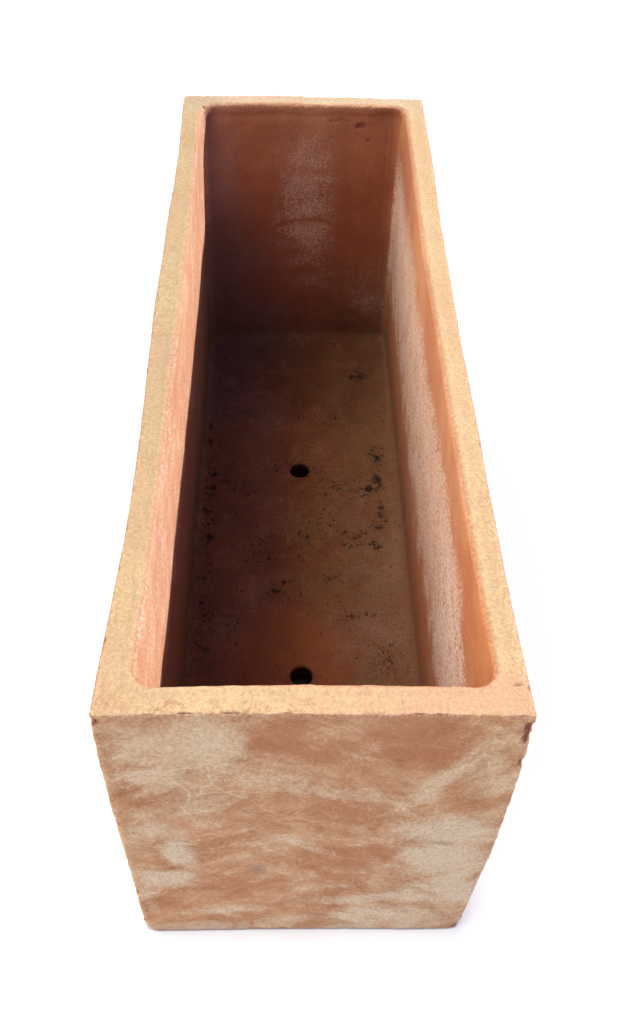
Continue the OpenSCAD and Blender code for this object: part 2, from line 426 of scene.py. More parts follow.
def cut_chips(height, spot):
    """Cuts the chips into the height and returns their mask."""
    x, y, z = spot.points.T
    chip = np.zeros(len(x))
    warp = 0.28 * spot.wave(7, seed=4) + 0.16 * spot.wave(3.5, seed=8)
    for centre_x, centre_y, centre_z, radius_x, radius_y, radius_z, depth in CHIPS:
        reach = np.sqrt(((x - centre_x) / radius_x) ** 2 + ((y - centre_y) / radius_y) ** 2
                        + ((z - centre_z) / radius_z) ** 2)
        close = reach < 1.7
        if not close.any():
            continue
        bite = 1 - ease(0.62, 1.02, reach[close] + warp[close])
        height[close] -= bite * depth * (0.8 + 0.5 * warp[close])
        chip[close] = np.maximum(chip[close], bite * min(1.0, depth / 2.4))
    return chip


def relief(spot):
    """How far the worked surface stands off the ideal one, in mm, and the mask of its chips."""
    wave, top, bed = spot.wave, spot.top, spot.bed
    height = 1.5 * wave(270, seed=0) + 0.7 * wave(92, seed=1) + 0.30 * wave(34, seed=2)
    # drawn sideways along each wall, lengthways along the floor
    height += 0.38 * wave((170, 170, 15), seed=3) * (1 - top) * (1 - bed)
    height += 0.40 * wave((26, 140, 60), seed=4) * bed
    height += 0.17 * wave(8.5, seed=5) + 0.10 * wave(4.2, seed=6)
    add_rim_relief(height, spot)
    wear_arrises(height, spot)
    add_drain_lips(height, spot)
    chip = cut_chips(height, spot)
    # nothing stands proud of the underside
    flat = np.minimum(height, 0) * (1 - spot.bottom)
    return np.where(spot.bottom > 0, flat, height), chip


def bloom_mask(spot):
    """Lime bloom, outside and then on each inner wall."""
    x, y, z = spot.points.T
    big, mid = spot.big, spot.mid
    bloom = spot.front * blots(x + 9 * mid, z + 9 * big, FRONT_BLOOM)
    other = (1 - spot.inside) * (1 - spot.top) * (1 - spot.front)
    rising = ease(0.75, 0.0, z / HEIGHT * 1.2 + 0.25 * mid - 0.12)
    bloom += other * (0.30 * ease(-0.35, 0.95, big) + 0.16 * mid + 0.24 * rising)
    level = z + 22 * mid + 14 * big
    drop = 62 * ease(-340, -540, y)
    bloom += (spot.right * ease(480 - drop, 388 - drop, level) * ease(140, 255, level)
              * (0.72 + 0.34 * ease(-0.5, 0.5, mid)))
    bloom += spot.left * (0.27 + 0.2 * mid) * ease(230, 330, level)
    bloom += spot.near * 0.5 * ease(-0.2, 0.6, mid)
    # the back wall: banded, broken by a clear arc, in one large patch and two small ones
    arc = 1 - 0.85 * bell(z - 312 + 0.0048 * (x - 12) ** 2, 4.5)
    bands = (0.80 + 0.42 * spot.wave((70, 70, 21), seed=9) + 0.38 * mid
             + 0.3 * spot.wave(24, seed=7))
    patch_x, patch_z = np.abs(x - 11 + 10 * mid) / 50, np.abs(z - 350 + 14 * big) / 128
    patches = (1.15 * np.exp(-(patch_x ** 3 + patch_z ** 3))
               + 0.75 * bell(x, 50, at=132) * bell(z, 50, at=122)
               + 0.4 * bell(x, 75, at=40) * bell(z, 30, at=185))
    bloom += (spot.far * arc * np.clip(bands, 0, 1.1) * (0.90 - 0.30 * ease(365, 430, z))
              * np.clip(patches, 0, 1))
    return bloom


def clay_masks(spot, chip):
    """The masks the clay's colours use, in the order they are stored."""
    x, y, z = spot.points.T
    big, mid, inside, bed, front, left = (
        spot.big, spot.mid, spot.inside, spot.bed, spot.front, spot.left)
    ruddy = front * blots(x + 14 * mid, z + 14 * big, FRONT_RUDDY)
    other = (1 - inside) * (1 - spot.top) * (1 - front)
    ruddy += other * 0.55 * ease(-0.3, 0.9, clouds(spot.points, 150, seed=8))
    # painted shade on the left of the inside and on the left wall below the key light's shadow edge,
    # and at the back end
    reach = x + 60 * big + 0.25 * (z - FLOOR) * (1 - left)
    left_shade = (inside * ease(30, -150, reach) * (1 - left) * (0.75 + 0.25 * ease(420, 250, z))
            + left * ease(328, 308, z + 3 * mid))
    # the back end: painted shade, darker and bluer, and where the lime differs
    far = (spot.far * (0.85 + 0.3 * big)
           + bed * 0.9 * ease(260, 420, y + 40 * mid) * (1 - 0.35 * ease(30, 120, x))
           + spot.right * 0.5 * ease(120, 480, y) * ease(370, 440, z))
    # crumbs of dried soil and mould, mostly along the two long seams
    soil = blots(x + 3 * mid, y + 3 * big, SOIL) * (z < FLOOR + 60) * inside
    soil += front * blots(x, z, FRONT_SPOT)
    # the front right upright arris is worn down to darker clay
    worn = ease(455, 400, z) * ease(-0.45, 0.4, spot.wave((9, 9, 26), seed=5))
    chip = np.maximum(chip, 0.6 * bell(spot.to_upright, 2.8) * (x > 0) * (y < 0) * worn)
    # a rubbed patch on the front half of the floor
    rubbed = ease(1.15, 0.8, np.hypot((x + 20) / 105, (y + 215) / 105) + 0.15 * mid)
    # dirt: the floor, the seams and the lowest part of the walls
    to_seam = np.minimum(HALF_X - FOOT - np.abs(x), HALF_Y - FOOT - np.abs(y))
    dirt = bed * (0.55 + 0.3 * big) + inside * 0.8 * ease(130, 45, z + 25 * mid)
    dirt += inside * 0.35 * bell(to_seam, 20) * (z < FLOOR + 30)
    # painted shade down the drain bores
    bore = np.zeros(len(x))
    for gap in past_drains(x, y):
        bore = np.maximum(bore, ease(5, 0.5, gap) * ease(FLOOR + 2, FLOOR - 5, z))
    to_edge = np.minimum(np.minimum(spot.to_outer_rim, spot.to_upright),
                         np.minimum(spot.to_inner_rim, spot.to_base))
    return {
        "inside": inside,
        "rimtop": spot.top,
        "arris": bell(to_edge, 5.5),
        "chip": chip,
        "bloom": np.clip(bloom_mask(spot), 0, 1),
        "ruddy": np.clip(ruddy, 0, 1),
        "dirt": np.clip(dirt, 0, 1),
        "bed": bed,
        "bore": bore,
        "soil": np.clip(soil, 0, 1),
        "ash": np.clip(bed * blots(x + 16 * mid, y + 16 * big, ASH), 0, 1),
        "web": np.clip(front * (0.15 + blots(x, z, FRONT_WEB)), 0, 1),
        "left_shade": np.clip(left_shade, 0, 1),
        "far": np.clip(far, 0, 1),
        "smooth": bed * rubbed,
        "groove": spot.top * bell(spot.cavity, 4.5, at=13.5),
    }


# ------------------------------------------------------------------ the slabs' sag
def curve(table):
    """A smooth line through a table of (y, offset)."""
    y, offset = np.array(table, float).T
    return np.polynomial.Polynomial.fit(y, offset, 7)


# How far each long rim has sagged, outwards positive: (y, offset).
OUT_LEFT = curve([
    (-600, 2), (-540, 1.5), (-490, -1), (-440, -2.3), (-390, -3.6), (-338, -5.4), (-280, -5.8),
    (-217, -5), (-150, -4.1), (-75, -3), (4, -2.2), (92, -2.1), (187, -2.6), (292, -3.6),
    (408, -2.6), (538, -1.2), (600, 0)])
OUT_RIGHT = curve([
    (-600, 2), (-535, 0.2), (-490, -2.4), (-440, -4.6), (-390, -4.4), (-334, -5.5),
    (-275, -6.2), (-211, -5.8), (-141, -6.2), (-67, -7), (15, -7), (104, -6.4), (201, -4.2),
    (308, -3.2), (426, -2), (558, 1), (600, 1)])
IN_LEFT = curve([
    (-600, 0), (-537, -1), (-484, -3.8), (-405, -4.8), (-355, -4), (-260, -4.8), (-166, -5.2),
    (0, -5.5), (164, -5), (324, -3), (505, -1), (600, 0)])
IN_RIGHT = curve([
    (-600, 0), (-537, 0), (-460, -1.6), (-405, -2.8), (-300, -3.6), (-150, -4.4), (-60, -5.6),
    (0, -6.4), (80, -6.6), (175, -6), (330, -4), (450, -2.2), (600, 0)])


def bend(points):
    """Long rims bow inwards, the front upright edges belly out, the back is a little askew."""
    x, y, z = points.T
    up = np.clip(z / HEIGHT, 0, 1.02)
    up_wall = np.clip(up, 0, 1)
    sign = np.sign(x)
    side = np.clip(np.abs(x) / (HALF_X - RIM), 0, 1)
    across = np.clip((np.abs(x) - (HALF_X - RIM)) / RIM, 0, 1.1)
    from_front = (y + HALF_Y) / LENGTH
    along = np.clip(y, -600, 600)
    outer = np.where(x < 0, OUT_LEFT(along), OUT_RIGHT(along))
    inner = np.where(x < 0, IN_LEFT(along), IN_RIGHT(along))
    bent = points.copy()
    bent[:, 0] += sign * side * (inner + (outer - inner) * across) * up ** 1.3
    belly = (np.where(x < 0, 3.0, 6.4)
             * np.sin(math.pi * up_wall ** np.where(x < 0, 2.3, 1.0)))
    bent[:, 0] += sign * across ** 2 * (1.0 + belly) * bell(y, 150, at=-HALF_Y)
    # the ends: bulge, skew of the back, lean of the front rim, its inner edge, the front foot
    bent[:, 1] += (np.sign(y) * (np.abs(y) / HALF_Y) ** 6 * 2.0 * np.sin(math.pi * up_wall)
                   * (1 - (x / HALF_X) ** 2))
    bent[:, 1] += from_front ** 2 * (5.0 + 5.5 * x / HALF_X)
    bent[:, 1] += up ** 4 * bell(y, 55, at=-HALF_Y) * (3.2 - 2.2 * (x / HALF_X) ** 4)
    bent[:, 1] += (2.4 * up_wall ** 6 * ease(-HALF_Y + 6, -HALF_Y + RIM, y)
                   * ease(-HALF_Y + RIM + 70, -HALF_Y + RIM, y))
    bent[:, 1] -= 6.0 * np.exp(-np.maximum(z, 0) / 60) * bell(y, 60, at=-HALF_Y)
    # the rim rises and falls
    wave = 1.1 * np.sin(y / 190 + 0.6 + sign * 0.9) + 0.8 * np.sin(x / 75 + 1.2)
    bent[:, 2] += up ** 3 * (wave - 0.6 + 4.5 * from_front ** 3)
    return bent


# ------------------------------------------------------------------ meshes
def grid_quads(index, flip=False):
    """Quads between the points of a two-way grid of indices."""
    corners = [index[:-1, :-1], index[1:, :-1], index[1:, 1:], index[:-1, 1:]]
    quads = np.stack(corners, -1).reshape(-1, 4)
    return quads[:, ::-1] if flip else quads


def grid_box(count_x, count_y, count_z):
    """Surface of a lattice: lattice indices of its points, quads by face, point numbers."""
    shell = np.zeros((count_x, count_y, count_z), bool)
    shell[[0, -1]] = True
    shell[:, [0, -1]] = True
    shell[:, :, [0, -1]] = True
    index = np.full(shell.shape, -1, np.int64)
    ijk = np.argwhere(shell)
    index[shell] = np.arange(len(ijk))
    faces = {
        "x0": grid_quads(index[0], True), "x1": grid_quads(index[-1]),
        "y0": grid_quads(index[:, 0]), "y1": grid_quads(index[:, -1], True),
        "z0": grid_quads(index[:, :, 0], True), "z1": grid_quads(index[:, :, -1]),
    }
    return ijk, faces, index


def make(name, points, quads, masks, material):
    """A mesh object from points in mm, quads and per-point masks."""
    used = np.zeros(len(points), bool)
    used[quads.ravel()] = True
    points, quads = points[used], (np.cumsum(used) - 1)[quads]
    mesh = bpy.data.meshes.new(name)
    mesh.vertices.add(len(points))
    mesh.vertices.foreach_set("co", (points / MM).astype(np.float32).ravel())
    mesh.loops.add(quads.size)
    mesh.loops.foreach_set("vertex_index", quads.astype(np.int32).ravel())
    mesh.polygons.add(len(quads))
    mesh.polygons.foreach_set("loop_start", (np.arange(len(quads)) * 4).astype(np.int32))
    mesh.polygons.foreach_set("use_smooth", np.ones(len(quads), bool))
    mesh.update(calc_edges=True)
    mesh.validate()
    for key, values in masks.items():
        layer = mesh.attributes.new(key, "FLOAT", "POINT")
        layer.data.foreach_set("value", values[used].astype(np.float32))
    mesh.set_sharp_from_angle(angle=math.radians(55))
    mesh.materials.append(material)
    piece = bpy.data.objects.new(name, mesh)
    bpy.context.scene.collection.objects.link(piece)
    return piece


def finish_piece(node, slot, points, quads, seen, coils=False, drains=False, proud=0):
    """Settles, roughens and bends a piece. proud lifts each point further, in mm."""
    points, normals = settle(points, seen, coils, drains)
    spot = Spot(points, normals)
    height, chip = relief(spot)
    masks = clay_masks(spot, chip)
    worked = points.copy()
    worked[seen] += (normals * (height + proud)[:, None])[seen]
    piece = make(node + "_clay", bend(worked), quads, masks, CLAYS[slot])
    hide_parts(node)
    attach(piece, "root")
    return piece


# ------------------------------------------------------------------ walls
# Mesh lines from the outer to the inner face of a wall at the rim, and up a wall, in mm.
ACROSS_SPAN = 32.0
ACROSS = np.array([0, 1.2, 2.4, 3.6, 5, 7, 10, 13.5, 17, 20, 22.6, 24.8, 26.6, 28.2, 29.6, 30.8,
                   ACROSS_SPAN])
ACROSS_SHARE = ACROSS / ACROSS_SPAN
RIM_BAND = 15     # finer lines this far down from the rim
UP_WALL = np.concatenate([np.linspace(FLOOR, HEIGHT - RIM_BAND, 132),
                          HEIGHT - RIM_BAND + np.linspace(0, RIM_BAND, 12)[1:]])


def finish_wall(node, axis, sign, points, faces, seen):
    """Finishes a wall built on the negative side, mirrored if it belongs on the other."""
    quads = np.concatenate(list(faces.values()))
    if sign > 0:
        points[:, axis] *= -1
        quads = quads[:, ::-1]
    return finish_piece(node, "terracotta_wall", points, quads, seen)


def side_wall(node, sign):
    """A long wall; its ends stop against the end walls' inner faces."""
    along = np.linspace(-1, 1, 279)
    ijk, faces, _ = grid_box(len(ACROSS), len(along), len(UP_WALL))
    share, z = ACROSS_SHARE[ijk[:, 0]], UP_WALL[ijk[:, 2]]
    wall = wall_at(z)
    y = along[ijk[:, 1]] * (HALF_Y - wall)
    points = np.stack([-HALF_X + share * wall, y, z], 1)
    inner = np.stack([-HALF_X + wall, y, z], 1)
    points = points + into_corner(inner) * ease(0.35, 1.0, share)[:, None]
    seen = ((ijk[:, 0] == 0) | (ijk[:, 0] == len(ACROSS) - 1)
            | (ijk[:, 2] == len(UP_WALL) - 1))
    return finish_wall(node, 0, sign, points, faces, seen)


def end_wall(node, sign):
    """A short wall across the trough's full width."""
    edge = -HALF_X + ACROSS
    middle = np.linspace(-HALF_X + ACROSS_SPAN, HALF_X - ACROSS_SPAN, 121)[1:-1]
    lines = np.concatenate([edge, middle, -edge[::-1]])
    ijk, faces, _ = grid_box(len(lines), len(ACROSS), len(UP_WALL))
    share, z = ACROSS_SHARE[ijk[:, 1]], UP_WALL[ijk[:, 2]]
    wall = wall_at(z)
    x = lines[ijk[:, 0]]
    points = np.stack([x, -HALF_Y + share * wall, z], 1)
    inner = np.stack([np.clip(x, -HALF_X + wall, HALF_X - wall), -HALF_Y + wall, z], 1)
    blend = ease(0.35, 1.0, share) * ease(0.35, 1.0, np.clip((HALF_X - np.abs(x)) / wall, 0, 1))
    points = points + into_corner(inner) * blend[:, None]
    open_inner = (ijk[:, 1] == len(ACROSS) - 1) & (np.abs(x) <= HALF_X - wall + 0.01)
    seen = ((ijk[:, 0] == 0) | (ijk[:, 0] == len(lines) - 1) | (ijk[:, 1] == 0)
            | (ijk[:, 2] == len(UP_WALL) - 1) | open_inner)
    return finish_wall(node, 1, sign, points, faces, seen)


# ------------------------------------------------------------------ floor slab
FLOOR_EDGE = np.array([0, 1.5, 3, 4.5, 6.5, 9, 12, 16.0])     # mesh lines in from each side
FLOOR_STEP = 4.4                                              # and between them
FLOOR_Z = np.array([0, 1.5, 3, 4.5, 6.5, 9, 12, 16, 20, 24.5, 29, FLOOR])
BORE_Z = (31.8, 30.4, 28.5, 25, 21, 17, 13, 9, 6, 4, 2.6, 1.3, 0.0)
DRAIN_PATCH = 34      # half side of the square round a drain that is meshed in rings


def floor_lines(half):
    edge = FLOOR_EDGE
    count = int(round((2 * half - 2 * edge[-1]) / FLOOR_STEP))
    middle = np.linspace(-half + edge[-1], half - edge[-1], count + 1)[1:-1]
    return np.concatenate([-half + edge, middle, (half - edge)[::-1]])


def ring_quads(first, second):
    return np.stack([first, np.roll(first, -1), np.roll(second, -1), second], 1)


def drain_rings(drain, top, bottom, points, start):
    """Rings from a square on the top, down the bore, to the same square underneath.

    top and bottom are the squares' point numbers; new points are numbered from start."""
    drain_x, drain_y, radius = drain
    offset = points[top][:, :2] - [drain_x, drain_y]
    reach, angle = np.hypot(*offset.T), np.arctan2(offset[:, 1], offset[:, 0])
    rings = [(share, FLOOR) for share in np.linspace(0, 1, 17)[1:]]
    rings += [(1.0, z) for z in BORE_Z]
    rings += [(share, 0.0) for share in np.linspace(1, 0, 9)[1:-1]]
    count = len(top)
    new_points, quads = [], []
    previous = top
    for share, z in rings:
        out = reach + (radius - reach) * share
        new_points.append(np.stack([drain_x + out * np.cos(angle),
                                    drain_y + out * np.sin(angle), np.full(count, z)], 1))
        current = np.arange(start, start + count)
        start += count
        quads.append(ring_quads(previous, current))
        previous = current
    quads.append(ring_quads(previous, bottom))
    return new_points, quads, start


def floor_slab(node):
    x_lines, y_lines = floor_lines(HALF_X), floor_lines(HALF_Y)
    ijk, faces, index = grid_box(len(x_lines), len(y_lines), len(FLOOR_Z))
    points = np.stack([x_lines[ijk[:, 0]], y_lines[ijk[:, 1]], FLOOR_Z[ijk[:, 2]]], 1)
    rim = ((ijk[:, 0] == 0) | (ijk[:, 0] == len(x_lines) - 1)
           | (ijk[:, 1] == 0) | (ijk[:, 1] == len(y_lines) - 1))
    open_top = ((ijk[:, 2] == len(FLOOR_Z) - 1) & (np.abs(points[:, 0]) < HALF_X - FOOT + 2)
                & (np.abs(points[:, 1]) < HALF_Y - FOOT + 2))
    seen = rim | open_top | (ijk[:, 2] == 0)
    extra_points, extra_quads = [], []
    count = len(points)
    gone = np.zeros((len(x_lines) - 1, len(y_lines) - 1), bool)
    for drain in DRAINS:
        i0, j0 = (np.searchsorted(lines, at - DRAIN_PATCH) - 1
                  for lines, at in ((x_lines, drain[0]), (y_lines, drain[1])))
        i1, j1 = (np.searchsorted(lines, at + DRAIN_PATCH)
                  for lines, at in ((x_lines, drain[0]), (y_lines, drain[1])))
        gone[i0:i1, j0:j1] = True
        loop = ([(i, j0) for i in range(i0, i1)] + [(i1, j) for j in range(j0, j1)]
                + [(i, j1) for i in range(i1, i0, -1)] + [(i0, j) for j in range(j1, j0, -1)])
        top = np.array([index[i, j, -1] for i, j in loop])
        bottom = np.array([index[i, j, 0] for i, j in loop])
        new_points, new_quads, count = drain_rings(drain, top, bottom, points, count)
        extra_points += new_points
        extra_quads += new_quads
    keep = ~gone.reshape(-1)
    quads = [faces[key] for key in ("x0", "x1", "y0", "y1")]
    quads += [faces["z1"][keep], faces["z0"][keep]]
    extra = np.concatenate(extra_points)
    points = np.concatenate([points, extra])
    seen = np.concatenate([seen, np.ones(len(extra), bool)])
    quads = np.concatenate(quads + extra_quads)
    return finish_piece(node, "terracotta_floor", points, quads, seen, drains=True)


# ------------------------------------------------------------------ coils
# Across a coil: a quarter circle with a thin tongue on to each neighbour, offsets in mm.
TONGUE = np.array([4.5, 3.0, 1.5])
QUARTER = np.linspace(0, 1, 17)
COIL_OFFSETS = np.concatenate([-TONGUE, np.zeros(len(QUARTER)), TONGUE[::-1]])
COIL_ANGLES = np.concatenate([[0] * 3, QUARTER, [1] * 3]) * math.pi / 2 + math.pi
COIL_FADE = np.interp(np.abs(COIL_OFFSETS), [0, 1.5, 4.5], [1, 0.55, -1])
CORNER_PROUD = 0.75      # how far the coils stand proud, in mm
LONG_SEAM_PROUD, END_SEAM_PROUD = 0.6, 0.45


def coil_section(centre_a, centre_b, radius):
    """Front and back outlines across a coil: front a, front b, back a, back b."""
    cos, sin = np.cos(COIL_ANGLES), np.sin(COIL_ANGLES)
    before, after = COIL_OFFSETS < 0, COIL_OFFSETS > 0
    front_a, front_b = centre_a + radius * cos, centre_b + radius * sin
    front_b = np.where(before, front_b - COIL_OFFSETS, front_b)
    front_a = np.where(after, front_a + COIL_OFFSETS, front_a)
    reach = (radius + 1.2) / np.maximum(np.abs(cos), np.abs(sin))
    back_a = np.where(after, front_a, centre_a + reach * cos)
    back_b = np.where(before, front_b, centre_b + reach * sin)
    return front_a, front_b, back_a, back_b


def coil_solid(front, back):
    """A closed solid between two grids of points; only its front is seen."""
    count = front.shape[0] * front.shape[1]
    points = np.concatenate([front.reshape(-1, 3), back.reshape(-1, 3)])
    ahead = np.arange(count).reshape(front.shape[:2])
    behind = ahead + count

    def strip(first, second):
        return np.stack([first[:-1], first[1:], second[1:], second[:-1]], -1)

    quads = np.concatenate([
        grid_quads(ahead), grid_quads(behind, True),
        strip(behind[:, 0], ahead[:, 0]), strip(ahead[:, -1], behind[:, -1]),
        strip(ahead[0], behind[0]), strip(behind[-1], ahead[-1]),
    ])
    return points, quads, np.arange(2 * count) < count


def outward(points, quads):
    """Flips every quad if the solid they close has negative volume."""
    a, b, c, d = (points[quads[:, k]] for k in range(4))
    volume = (a * np.cross(b, c)).sum() + (a * np.cross(c, d)).sum()
    return quads if volume > 0 else quads[:, ::-1]


def finish_coil(node, points, quads, seen, proud):
    proud = np.concatenate([proud.ravel(), np.zeros(proud.size)])
    quads = outward(points, quads)
    return finish_piece(node, "terracotta_coil", points, quads, seen, coils=True, proud=proud)


def corner_coil(node, sign_x, sign_y):
    """The coil up an inner corner, built at the front left and mirrored."""
    levels = np.arange(FLOOR + 5, BROW - 4, 3.8)
    front = np.zeros((len(COIL_OFFSETS), len(levels), 3))
    back = np.zeros_like(front)
    for k, z in enumerate(levels):
        wall = float(wall_at(np.array([z]))[0])
        front_x, front_y, back_x, back_y = coil_section(
            -HALF_X + wall + CORNER_R, -HALF_Y + wall + CORNER_R, CORNER_R)
        height = np.full(len(COIL_OFFSETS), z)
        front[:, k] = np.stack([front_x, front_y, height], 1)
        back[:, k] = np.stack([back_x, back_y, height], 1)
    points, quads, seen = coil_solid(front, back)
    fade_up = np.interp(levels, [levels[0], levels[0] + 7, levels[-1] - 24, levels[-1]],
                        [-1, 1, 1, -1])
    proud = np.minimum(COIL_FADE[:, None], fade_up[None, :]) * CORNER_PROUD
    points *= [-sign_x, -sign_y, 1]
    return finish_coil(node, points, quads, seen, proud)


def floor_coil(node, axis, sign):
    """The coil along a floor seam; axis is the way it runs."""
    half_along, half_across = (HALF_Y, HALF_X) if axis == "y" else (HALF_X, HALF_Y)
    wall = -half_across + FOOT
    front_a, front_z, back_a, back_z = coil_section(wall + SEAM_R, FLOOR + SEAM_R, SEAM_R)
    count = int(round(2 * (half_along - FOOT) / 4.0)) + 1
    end = half_along - FOOT - np.maximum(front_a - wall, 0) + 1.5      # mitred ends
    along = np.linspace(-1, 1, count)[None, :] * end[:, None]

    def sweep(across, z):
        return np.stack([np.repeat(across[:, None], count, 1), along,
                         np.repeat(z[:, None], count, 1)], -1)

    points, quads, seen = coil_solid(sweep(front_a, front_z), sweep(back_a, back_z))
    proud = (np.repeat(COIL_FADE[:, None], count, 1)
             * (LONG_SEAM_PROUD if axis == "y" else END_SEAM_PROUD))
    points[:, 0] *= -sign
    if axis == "x":
        points = points[:, [1, 0, 2]]
    return finish_coil(node, points, quads, seen, proud)


# ------------------------------------------------------------------ shader building
class Signal:
    """A value flowing between nodes. Arithmetic on it adds Math nodes."""

    def __init__(self, tree, socket):
        self.tree = tree
        self.socket = socket

    def __add__(self, other):
        return self.tree.math("ADD", self, other)

    def __sub__(self, other):
        return self.tree.math("SUBTRACT", self, other)

    def __rsub__(self, other):
        return self.tree.math("SUBTRACT", other, self)

    def __mul__(self, other):
        return self.tree.math("MULTIPLY", self, other)

    def add_clamped(self, other):
        return self.tree.math("ADD", self, other, clamp=True)

    def maximum(self, other):
        return self.tree.math("MAXIMUM", self, other)

    def between(self, lo, hi, to=(0.0, 1.0)):
        """Eases from to[0] where the value is lo, to to[1] where it is hi."""
        values = {"Value": self, "From Min": lo, "From Max": hi, "To Min": to[0], "To Max": to[1]}
        return self.tree.node("MapRange", values, interpolation_type="SMOOTHSTEP")

    def xyz(self):
        outputs = self.tree.add("SeparateXYZ", {0: self}).outputs
        return [Signal(self.tree, socket) for socket in outputs]

    def warp(self, scale, turn=(0, 0, 0)):
        """Turns a vector by radians, then stretches it."""
        values = {"Vector": self, "Scale": [1.0 / k for k in scale], "Rotation": turn}
        return self.tree.node("Mapping", values, vector_type="TEXTURE")

    def swirl(self, scale, amount):
        """Pushes a vector about with noise, so that what is built on it curls."""
        node = self.tree.node
        push = node("TexNoise", {"Vector": self, "Scale": scale, "Detail": 3.0}, "Color")
        push = node("VectorMath", {0: push, 1: (0.5, 0.5, 0.5)}, operation="SUBTRACT")
        push = node("VectorMath", {0: push, "Scale": amount}, operation="SCALE")
        return node("VectorMath", {0: self, 1: push}, operation="ADD")

    def noise(self, scale, detail, rough=0.55, twist=0.0):
        values = {"Vector": self, "Scale": scale, "Detail": detail, "Roughness": rough,
                  "Distortion": twist}
        return self.tree.node("TexNoise", values, "Fac")

    def cells(self, scale, feature="DISTANCE_TO_EDGE"):
        values = {"Vector": self, "Scale": scale}
        return self.tree.node("TexVoronoi", values, "Distance", feature=feature)

    def ramp(self, stops):
        """Colours by value, from a table of (position, colour)."""
        node = self.tree.add("ValToRGB", {0: self})
        elements = node.color_ramp.elements
        while len(elements) > 1:
            elements.remove(elements[-1])
        elements[0].position = stops[0][0]
        elements[0].color = (*stops[0][1], 1)
        for position, colour in stops[1:]:
            elements.new(position).color = (*colour, 1)
        return Signal(self.tree, node.outputs["Color"])

    def blend(self, factor, colour):
        return self.tree.mix(factor, self, colour)

    def times(self, colour):
        return self.tree.mix(1.0, self, colour, "MULTIPLY")

    def tint(self, factor, colour):
        """Blends towards this colour multiplied by another."""
        return self.blend(factor, self.times(colour))


class Tree:
    """The emptied node tree of a material or world."""

    def __init__(self, owner):
        owner.use_nodes = True
        self.nodes = owner.node_tree.nodes
        self.links = owner.node_tree.links
        self.nodes.clear()

    def add(self, kind, inputs, **props):
        node = self.nodes.new("ShaderNode" + kind)
        for key, value in props.items():
            setattr(node, key, value)
        for key, value in inputs.items():
            socket = node.inputs[key]
            if isinstance(value, Signal):
                self.links.new(value.socket, socket)
            elif socket.type == "RGBA":
                socket.default_value = (*value, 1)
            else:
                socket.default_value = value
        return node

    def node(self, kind, inputs, output=0, **props):
        return Signal(self, self.add(kind, inputs, **props).outputs[output])

    def attr(self, name):
        return self.node("Attribute", {}, "Fac", attribute_name=name)

    def math(self, operation, first, second=0.0, clamp=False):
        return self.node("Math", {0: first, 1: second}, operation=operation, use_clamp=clamp)

    def mix(self, factor, first, second, mode="MIX"):
        node = self.add("Mix", {}, data_type="RGBA", blend_type=mode, clamp_factor=True)
        result = node.outputs[2]
        for key, value in ((0, factor), (6, first), (7, second)):
            if isinstance(value, Signal):
                self.links.new(value.socket, node.inputs[key])
            else:
                node.inputs[key].default_value = (*value, 1) if key else value
        return Signal(self, result)


# ------------------------------------------------------------------ the clay
FRONT_Y, RIGHT_X = -HALF_Y / MM, HALF_X / MM      # outer faces, in metres

# Ramps: (position, linear colour).
OUTER_CLAY = [(0.38, (0.35, 0.142, 0.057)), (0.46, (0.442, 0.208, 0.094)),
              (0.53, (0.522, 0.280, 0.142)), (0.62, (0.61, 0.380, 0.212))]
OUTER_BLOOM = [(0.36, (0.60, 0.470, 0.315)), (0.64, (0.69, 0.575, 0.405))]
RIM_SAND = [(0.38, (0.50, 0.298, 0.145)), (0.48, (0.575, 0.378, 0.196)),
            (0.56, (0.62, 0.428, 0.234)), (0.66, (0.70, 0.528, 0.322))]
INNER_CLAY = [(0.08, (0.28, 0.120, 0.065)), (0.30, (0.41, 0.172, 0.090)),
              (0.62, (0.49, 0.200, 0.100)), (0.92, (0.575, 0.265, 0.130))]
SOILED = [(0.38, (0.165, 0.080, 0.036)), (0.50, (0.290, 0.132, 0.060)),
          (0.62, (0.405, 0.208, 0.102))]
RAW_CHIP = [(0.38, (0.11, 0.032, 0.018)), (0.62, (0.30, 0.095, 0.048))]


